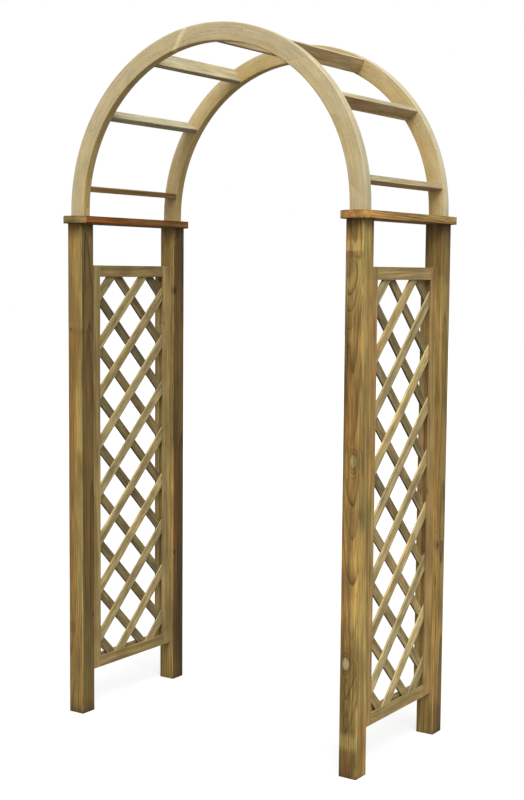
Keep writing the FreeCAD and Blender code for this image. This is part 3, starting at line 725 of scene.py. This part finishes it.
# the side stain is added in full on the right, not at all at the crown, and taken away on the left
sideShare = add(timesPlus, [copy, given["Step Angle"], given["First Angle"]])
sideShare = add((scalarMath, "COSINE"), [sideShare])
sideTone = add(vectorScaled, {0: given["Side Stain"], "Scale": sideShare})
copyTone = add(vectorPlus, [oddTone, sideTone])
values = {}
for label, extra in (("grain", upLog), ("stain", copyTone)):
    value = add("InputNamedAttribute", {"Name": label}, data_type="FLOAT_VECTOR")
    values[label] = (add(vectorPlus, [value, extra]), "POINT")
grown = varyCopies(add, grown, given, copy, archSpread, values)
endTree(add, add("RemoveAttribute", {"Geometry": grown, "Name": "copy"}), given["Material"])

# Hoops: pale planed pine, curved lengths scarfed end to end, streaks that follow the curve
hoopLook = dict(
    postLook, early="#c0af87", late="#957a4b", heartwood="#a58c58", russet="#b89a57", olive="#b0ab90",
    ringWidth=0.008, wander=0.014, wanderScale=(16, 16, 2.4), lateLow=0.1, lateHigh=0.5, fibres=0.07,
    ringDark=0.1, streaks=0.09, streakScale=(220, 220, 36), bands=0.06, bandScale=(70, 70, 9), blotches=0.08,
    blotchScale=(14, 14, 9), patches=0.35, dashes=0.45, heartShare=0.1, bump=0.25)
hoops = {
    "width": 0.066, "ease": 0.003, "easeSteps": 3, "stepAngle": 2.0, "lengths": 7, "footAngle": 4.0,
    "slant": 6.0, "leg": 0.02, "centreHeight": 1.978, "jointEase": 0.0002, "pith": (-0.05, 0.03),
    # the stain of the soffit, darker and redder, the darkness painted shade; of the face's inner and outer
    # edge; and of the weathered rim
    "front": ((0.84, 0.7), (0.97, 0.15, -0.1), (1.01, -0.05, 0.1), (0.98, -0.2, 0.4)),
    "rear": ((0.84, 0.8), (1.0, 0.6, -0.2), (1.08, 0.1, -0.1), (1.06, -0.3, 0.6)), "footTone": (0.05,),
    # joints, counted from the right foot, where the glue shows as a pale line
    "paleJoints": {"front": (4,), "rear": ()},
    "glueFade": 0.018, "glueReach": 0.0006, "glueTone": (0.42, -0.3),
}
hoopTimber = timber("paleTreatedPine", hoopLook)
archCentre = zAxis * hoops["centreHeight"]


def roundedSection(low, high, ease, steps):
    # corners in turn, each from its first to its last point
    points = []
    centres = rectangle([edge + ease for edge in low], [edge - ease for edge in high])
    for i, (x, y) in enumerate(centres[1:] + centres[:1]):
        for step in range(steps + 1):
            angle = radians(90 * (i - 1 + step / steps))
            points.append((x + ease * cos(angle), y + ease * sin(angle)))
    return points


def hoopLength(row, ring, start, end, slants, leg=0):
    # sweeps the section round the centre; leg is 1 or -1 where the straight leg is at the start or the end
    inner, outer, halfThick, middleY = ring
    logStart = next(pieceNumbers) * pieceStep
    centreLine = (inner + outer) / 2
    inset, ease, steps = hoops["jointEase"], hoops["ease"], hoops["easeSteps"]
    section, tight = (
        roundedSection((inner + gap, gap - halfThick), (outer - gap, halfThick - gap), ease, steps)
        for gap in (0, inset))
    longWay = centreLine * radians(end - start)
    parts = max(2, round((end - start) / hoops["stepAngle"]))
    # stations: the share of the way, how far down the leg, and the section there
    joint = [(0, 0, tight), (inset / longWay, 0, section), (hoops["glueFade"] / longWay, 0, section)]
    straight = [(0, hoops["leg"], tight), (0, hoops["leg"] - inset, section), (0, 0, section)]
    stations = list(straight if leg > 0 else joint)
    stations += [(i / parts, 0, section) for i in range(1, parts)]
    stations += [(1 - way, drop, points) for way, drop, points in reversed(straight if leg < 0 else joint)]
    bm = bmesh.new()
    grain = bm.verts.layers.float_vector.new("grain")
    stain = bm.verts.layers.float_vector.new("stain")
    soffitShadeAndStain, innerStain, outerStain, rimStain = (toneOf(tone) for tone in hoops[row])
    extra = toneOf(hoops["footTone"] if leg else (0,))
    loops = []
    for way, drop, points in stations:
        loop = []
        slant = slants[0] + (slants[1] - slants[0]) * way
        for radius, y in points:
            share = (radius - inner) / (outer - inner)
            angle = radians(start + (end - start) * way + slant * (0.5 - share))
            vertex = bm.verts.new((radius * cos(angle), middleY + y, radius * sin(angle) - drop))
            run = logStart + centreLine * angle - drop
            vertex[grain] = (radius - centreLine - hoops["pith"][0], y - hoops["pith"][1], run)
            tone = innerStain.lerp(outerStain, share)
            # the soffit takes its darker tone, painted shade with redder timber; the rim the weathered tone
            if min(radius - inner, outer - radius) < ease / 2:
                tone = soffitShadeAndStain if share < 0.5 else rimStain
            vertex[stain] = tone + extra
            loop.append(vertex)
        loops.append(loop)
    skin(bm, loops)
    for face in bm.faces:
        face.smooth = len(face.verts) == 4  # all but the ends
    for near, far in zip(loops, loops[1:]):
        for i in range(0, len(section), steps + 1):
            for corner in (i, i + steps):
                bm.edges.get((near[corner], far[corner])).smooth = False
    for loop in loops[:2] + loops[-2:]:
        for i in range(len(section)):
            bm.edges.get((loop[i - 1], loop[i])).smooth = False
    return bm


def showGlue(mesh, angle, inner, outer):
    # lightens the points on the slanted joint at that angle
    stain = mesh.attributes["stain"].data
    for i, vertex in enumerate(mesh.vertices):
        away = vertex.co - archCentre
        radius = hypot(away.x, away.z)
        jointAngle = radians(angle + hoops["slant"] * (0.5 - (radius - inner) / (outer - inner)))
        if abs(atan2(away.z, away.x) - jointAngle) * radius < hoops["glueReach"]:
            stain[i].vector = Vector(stain[i].vector) + toneOf(hoops["glueTone"])


for row in ("front", "rear"):
    low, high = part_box(f"hoop_{row}_foot_right")
    inner, outer = high.x - hoops["width"], high.x
    ring = (inner, outer, (high.y - low.y) / 2, (high.y + low.y) / 2)
    slant, footAngle, lengths = hoops["slant"], hoops["footAngle"], hoops["lengths"]
    arc = (180 - 2 * footAngle) / lengths
    bm = hoopLength(row, ring, -arc / 2, arc / 2, (slant, slant))
    inputs = {"Count": lengths, "First Angle": radians(footAngle + arc / 2), "Step Angle": radians(arc),
              "Seed": len(row), "Odd Copy": -1, "Material": hoopTimber}
    nodes = [f"hoop_{row}_arc_{i}" for i in range(1, lengths + 1)]
    base = finishMesh(bm, f"hoop_{row}")
    made = [growPiece(f"hoop_{row}_lengths", base, archTree, inputs, nodes, archCentre)]
    feet = {"right": (0, footAngle, (0, slant), 1), "left": (180 - footAngle, 180, (slant, 0), -1)}
    for side, foot in feet.items():
        node = f"hoop_{row}_foot_{side}"
        mesh = finishMesh(hoopLength(row, ring, *foot), node, (hoopTimber,))
        mesh.transform(Matrix.Translation(archCentre))
        made.append(settle(newObject(node, mesh), [node]))
    for joint in hoops["paleJoints"][row]:
        for piece in made:
            showGlue(piece.data, footAngle + joint * arc, inner, outer)
print("hoops done")

# Rungs: boards on edge between the hoops, greyer and browner than the hoops
rungLook = dict(
    hoopLook, early="#b6a981", late="#75603a", olive="#9a9c8c", russet="#94703f", ringWidth=0.004,
    lateHigh=0.7, fibres=0.2, streaks=0.19, streakScale=(170, 170, 7), bandScale=(60, 60, 3), bands=0.16,
    blotchScale=(12, 12, 4), blotches=0.12, dashes=0.35, patches=0.4)
rungs = {
    "thick": 0.02, "ease": 0.0015, "easeSteps": 2, "count": 7, "firstAngle": 8.0, "seed": 3,
    "pith": (-0.05, 0.04), "tilt": (0.01, 0.02),
    # grey outer edge, dark warm inner one whose darkness is painted shade, browner faces
    "stains": {"right": (1.12, -0.4, 0.8), "left": (0.7, 0.45, -0.3), "rest": (1.14, 0.25, -0.15)},
    "sideStain": (0.06, 0.3, -0.5),
    "oddCopy": 6, "oddStain": (-0.1, 1.1, -0.8),  # the lowest one on the left is of redder timber
}
rungTimber = timber("treatedPineRung", rungLook)
low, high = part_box("rung_4")  # the one that stands upright at the crown
inner, outer = low.z - archCentre.z, high.z - archCentre.z
rungHalf = rungs["thick"] / 2
rungSection = rectangle((inner, -rungHalf), (outer, rungHalf))
bm = prism(rungSection, yAxis * high.y, -yAxis, xAxis, high.y - low.y)
easeEdges(bm, rungs, yAxis)
base = finishMesh(bm, "rung")
writeGrain(base, grainSpace(xAxis * inner, -yAxis, xAxis, rungs["pith"], rungs["tilt"]))
stainFaces(base, rungs["stains"], Vector((0, 0, 0)), Vector((1, 1, 1)))  # any box will do for plain stains
inputs = {
    "Count": rungs["count"], "First Angle": radians(rungs["firstAngle"]), "Seed": rungs["seed"],
    "Step Angle": radians((180 - 2 * rungs["firstAngle"]) / (rungs["count"] - 1)),
    "Odd Copy": rungs["oddCopy"], "Odd Stain": rungs["oddStain"], "Side Stain": rungs["sideStain"],
    "Material": rungTimber}
nodes = [f"rung_{i}" for i in range(1, rungs["count"] + 1)]
growPiece("rungs", base, archTree, inputs, nodes, archCentre)
print("rungs done")


def plainMaterial(name, code, roughness, metallic=0.0):
    material = bpy.data.materials.new(name)
    add = clearTree(material)
    inputs = {"Base Color": hexColour(code), "Roughness": roughness, "Metallic": metallic}
    add("OutputMaterial", [add("BsdfPrincipled", inputs)])
    return material


zinc = plainMaterial("zincPlatedSteel", "#8f855f", 0.42, 1.0)  # yellowish: dull straw colour, soft sheen
beech = plainMaterial("turnedBeech", "#cdb084", 0.6)  # pale and plain, hidden in the joints

# Screws and pins: one head and shank, set at each seat and pointed the way its seat says
fixings = {"headVertices": 20, "shankVertices": 12, "slotShare": 0.28}  # how wide each slot of the recess is
fixingTree, add, given = startTree("fixings", {
    "Head Radius": "Float", "Head Depth": "Float", "Shank Radius": "Float", "Length": "Float",
    "Recess": "Float"})
head = add("MeshCone", {
    "Vertices": fixings["headVertices"], "Radius Top": given["Head Radius"],
    "Radius Bottom": given["Shank Radius"], "Depth": given["Head Depth"]})
sunk = add(joinVector, {2: add(times, [given["Head Depth"], -1.0])})
head = add("Transform", {"Geometry": head, "Translation": sunk})
slotWidth = add(times, [given["Recess"], fixings["slotShare"]])
bars = []
for spans in ((given["Recess"], slotWidth), (slotWidth, given["Recess"])):
    bars.append(add("MeshCube", [add(joinVector, [*spans, given["Head Depth"]])]))
head = add("MeshBoolean", {0: head, 1: bars}, operation="DIFFERENCE", solver="EXACT")
shankLong = add(minus, [given["Length"], given["Head Depth"]])
shank = add("MeshCylinder", {
    "Vertices": fixings["shankVertices"], "Radius": given["Shank Radius"], "Depth": shankLong})
shankMiddle = add(plus, [given["Length"], given["Head Depth"]])
shankMiddle = add(joinVector, {2: add(times, [shankMiddle, -0.5])})
shank = add("Transform", {"Geometry": shank, "Translation": shankMiddle})
screw = add("JoinGeometry", {0: [head, shank]})
aim = add("InputNamedAttribute", {"Name": "aim"}, data_type="FLOAT_VECTOR")
aimed = add("FunctionNodeAlignRotationToVector", {"Vector": aim}, axis="Z")
copies = add("InstanceOnPoints", {"Points": given["Geometry"], "Instance": screw, "Rotation": aimed})
endTree(add, add("RealizeInstances", [copies]), zinc)


def addFixings(node, seats, shape, length):
    # a loose point for each seat, with the way its head faces
    mesh = bpy.data.meshes.new(node)
    mesh.from_pydata([spot for spot, facing in seats], [], [])
    aims = mesh.attributes.new("aim", "FLOAT_VECTOR", "POINT")
    for i, (spot, facing) in enumerate(seats):
        aims.data[i].vector = facing
    growPiece(node, mesh, fixingTree, dict(shape, Length=length), [node])


screws = {
    "shape": {"Head Radius": 0.005, "Head Depth": 0.003, "Shank Radius": 0.0025, "Recess": 0.0055},
    "proud": 0.0003, "capLength": 0.08, "capOffset": 0.026, "panelLength": 0.1, "panelInset": 0.15,
    "behindGroove": -0.010625,
}
pins = {
    "shape": {"Head Radius": 0.0016, "Head Depth": 0.0008, "Shank Radius": 0.001, "Recess": 0.0004},
    "proud": 0.0004, "length": 0.016,
    "up": range(-7, 8), "along": (-1, 0, 1),  # half pitches from the middle of the panel
}
capSeats, panelSeats = [], []
for corner in corners:
    row, side = corner.split("_")
    middle = boxOf("post_" + corner)[2]
    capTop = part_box("cap_" + side)[1].z
    for shift in (-screws["capOffset"], screws["capOffset"]):
        capSeats.append((Vector((middle.x, middle.y + shift, capTop + screws["proud"])), zAxis))
    middle, half = boxOf(f"stile_{side}_{row}")[2:]
    facing = yAxis if row == "front" else -yAxis
    seat = middle + xAxis * screws["behindGroove"] + facing * (half.y + screws["proud"])
    for rise in (-1, 0, 1):
        panelSeats.append((seat + zAxis * rise * (half.z - screws["panelInset"]), facing))
addFixings("cap_screws", capSeats, screws["shape"], screws["capLength"])
addFixings("panel_screws", panelSeats, screws["shape"], screws["panelLength"])
for side in sides:
    middle = boxOf(f"stile_{side}_front")[2]
    pinX = middle.x + 2 * slats["thick"] + pins["proud"]
    pinSeats = [
        (Vector((pinX, along * slats["pitchAlong"] / 2, middle.z + up * slats["pitchUp"] / 2)), xAxis)
        for up in pins["up"] for along in pins["along"] if (up + along) % 2]
    addFixings("lattice_pins_" + side, pinSeats, pins["shape"], pins["length"])
for node, material in (("hoop_foot_dowels", beech), ("rung_dowels", beech), ("frame_corner_screws", zinc)):
    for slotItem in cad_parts[node].material_slots:
        slotItem.material = material
print("fixings done")

# Stage: white floor and sky, soft daylight from the front and above
stage = {"floorHalf": 30.0, "floorColour": "#ffffff", "groundColour": "#888888", "floorGlow": 0.7,
         "skyLight": 0.72, "sunStrength": 3.2, "sunAngle": 45.0, "sunAzimuth": 40.0, "sunElevation": 53.0}
paint = bpy.data.materials.new("whiteStudioFloor")
add = clearTree(paint)
rays = add("LightPath", output=None)
matt = add("BsdfDiffuse", {"Color": hexColour(stage["floorColour"])})
white = add("Emission", {"Strength": 1.0})
seen = add("MixShader", [stage["floorGlow"], matt, white])
# the light that the floor throws back up is that of ordinary ground
ground = add("BsdfDiffuse", {"Color": hexColour(stage["groundColour"])})
both = add("MixShader", [rays["Is Camera Ray"], ground, seen])
add("OutputMaterial", [both])
bm = bmesh.new()
bmesh.ops.create_grid(bm, x_segments=1, y_segments=1, size=stage["floorHalf"])
floor = newObject("floor", finishMesh(bm, "floor", (paint,)))

world = bpy.data.worlds.new("softDaylight")
add = clearTree(world)
rays = add("LightPath", output=None)
seen = add((scalarMath, "MAXIMUM"), [rays["Is Camera Ray"], rays["Is Glossy Ray"]])
seen = add((scalarMath, "MAXIMUM"), [seen, rays["Is Transmission Ray"]])
sky, white = (add("Background", [(1, 1, 1, 1), strength]) for strength in (stage["skyLight"], 1.0))
both = add("MixShader", [seen, sky, white])
add("OutputWorld", [both])
scene.world = world

sun = bpy.data.lights.new("softSun", "SUN")
sun.energy = stage["sunStrength"]
sun.angle = radians(stage["sunAngle"])
lamp = newObject("softSun", sun)
lamp.rotation_euler = (radians(90 - stage["sunElevation"]), 0, radians(stage["sunAzimuth"]))

# Camera: eye height, turned to the arch's right front corner, as in the photo
eye = {"place": (2.966, -4.352, 1.7442), "yaw": 33.96, "pitch": 5.25, "roll": 0.483, "lens": 62.04,
       "sensor": 36.0}
lens = bpy.data.cameras.new("eye")
lens.lens = eye["lens"]
lens.sensor_width = eye["sensor"]
camera = newObject("eye", lens)
camera.matrix_world = Matrix.Translation(eye["place"])
for angle, axis in ((eye["yaw"], "Z"), (90 - eye["pitch"], "X"), (eye["roll"], "Z")):
    camera.matrix_world = camera.matrix_world @ Matrix.Rotation(radians(angle), 4, axis)
scene.camera = camera
scene.view_settings.view_transform = "Standard"

bpy.context.view_layer.update()
